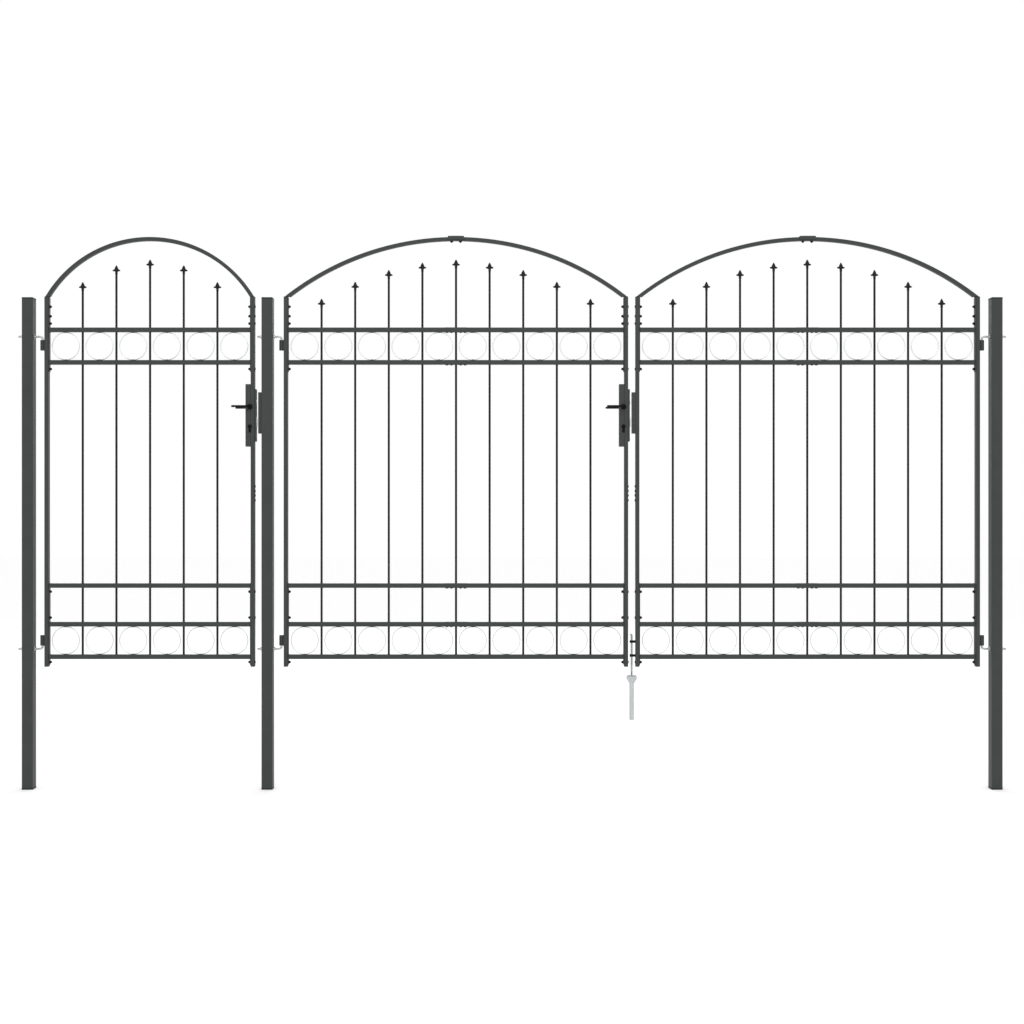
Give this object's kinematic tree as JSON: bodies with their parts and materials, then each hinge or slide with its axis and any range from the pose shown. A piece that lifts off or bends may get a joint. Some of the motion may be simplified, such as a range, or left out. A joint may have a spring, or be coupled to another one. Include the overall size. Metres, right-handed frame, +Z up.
{
  "type": "steel garden gate",
  "caption": "Arched steel garden gate: a walk-through leaf and a pair of drive leaves with round bars, ring rows and spear finials, hung on square posts.",
  "frame": {"origin": "middle of the bottom face of the centre post's foot", "axes": "+X to the right along the gate, +Y away from the front, +Z up"},
  "size_m": [4.04, 0.1016, 2.26],
  "materials": {
    "coated_steel": "satin",
    "cap_plastic": "matte",
    "zinc_steel": "satin",
    "black_metal": "satin"
  },
  "bodies": {
    "posts": {"left_post": "coated_steel", "middle_post": "coated_steel", "right_post": "coated_steel", "top_caps": "cap_plastic", "foot_caps": "cap_plastic", "hinge_bolts": "zinc_steel", "hinge_nuts": "zinc_steel", "post_keeper": "coated_steel", "ground_socket": "zinc_steel"},
    "single_leaf": {"single_hinge_upright": "coated_steel", "single_lock_upright": "coated_steel", "single_upright_plugs": "cap_plastic", "single_arch": "coated_steel", "single_infill": "coated_steel", "single_rings": "zinc_steel", "single_spear_tips": "coated_steel", "single_hinge_eyes": "coated_steel", "single_lock_case": "coated_steel", "single_lock_face": "coated_steel", "single_key_cylinder": "black_metal"},
    "left_leaf": {"left_hinge_upright": "coated_steel", "left_lock_upright": "coated_steel", "left_upright_plugs": "cap_plastic", "left_arch": "coated_steel", "left_infill": "coated_steel", "left_rings": "zinc_steel", "left_spear_tips": "coated_steel", "left_hinge_eyes": "coated_steel", "left_lock_case": "coated_steel", "left_lock_face": "coated_steel", "left_key_cylinder": "black_metal", "left_arch_sleeve": "coated_steel"},
    "right_leaf": {"right_hinge_upright": "coated_steel", "right_meeting_upright": "coated_steel", "right_upright_plugs": "cap_plastic", "right_arch": "coated_steel", "right_arch_sleeve": "coated_steel", "right_infill": "coated_steel", "right_rings": "zinc_steel", "right_spear_tips": "coated_steel", "right_hinge_eyes": "coated_steel", "right_keeper": "coated_steel", "rod_guides": "black_metal"},
    "single_lever": {"single_handle": "black_metal"},
    "left_lever": {"left_handle": "black_metal"},
    "drop_rod": {"drop_bolt": "zinc_steel"}
  },
  "joints": [
    {"name": "single_leaf_hinge", "type": "hinge", "parent": "posts", "child": "single_leaf", "pos_m": [-0.9215, 0, 1.17], "axis": [0, 0, 1], "range_deg": [0, 90]},
    {"name": "left_leaf_hinge", "type": "hinge", "parent": "posts", "child": "left_leaf", "pos_m": [0.056, 0, 1.17], "axis": [0, 0, 1], "range_deg": [0, 90]},
    {"name": "right_leaf_hinge", "type": "hinge", "parent": "posts", "child": "right_leaf", "pos_m": [2.9215, 0, 1.17], "axis": [0, 0, -1], "range_deg": [0, 90]},
    {"name": "single_lever_turn", "type": "hinge", "parent": "single_leaf", "child": "single_lever", "pos_m": [-0.0715, 0, 1.562], "axis": [0, -1, 0], "range_deg": [0, 40], "stiffness_Nm_per_rad": 1.5, "springref_deg": -6.88},
    {"name": "left_lever_turn", "type": "hinge", "parent": "left_leaf", "child": "left_lever", "pos_m": [1.45475, 0, 1.562], "axis": [0, -1, 0], "range_deg": [0, 40], "stiffness_Nm_per_rad": 1.5, "springref_deg": -6.88},
    {"name": "drop_bolt_slide", "type": "slide", "parent": "right_leaf", "child": "drop_rod", "axis": [0, 0, 1], "range_m": [-0.013, 0.05]}
  ]
}
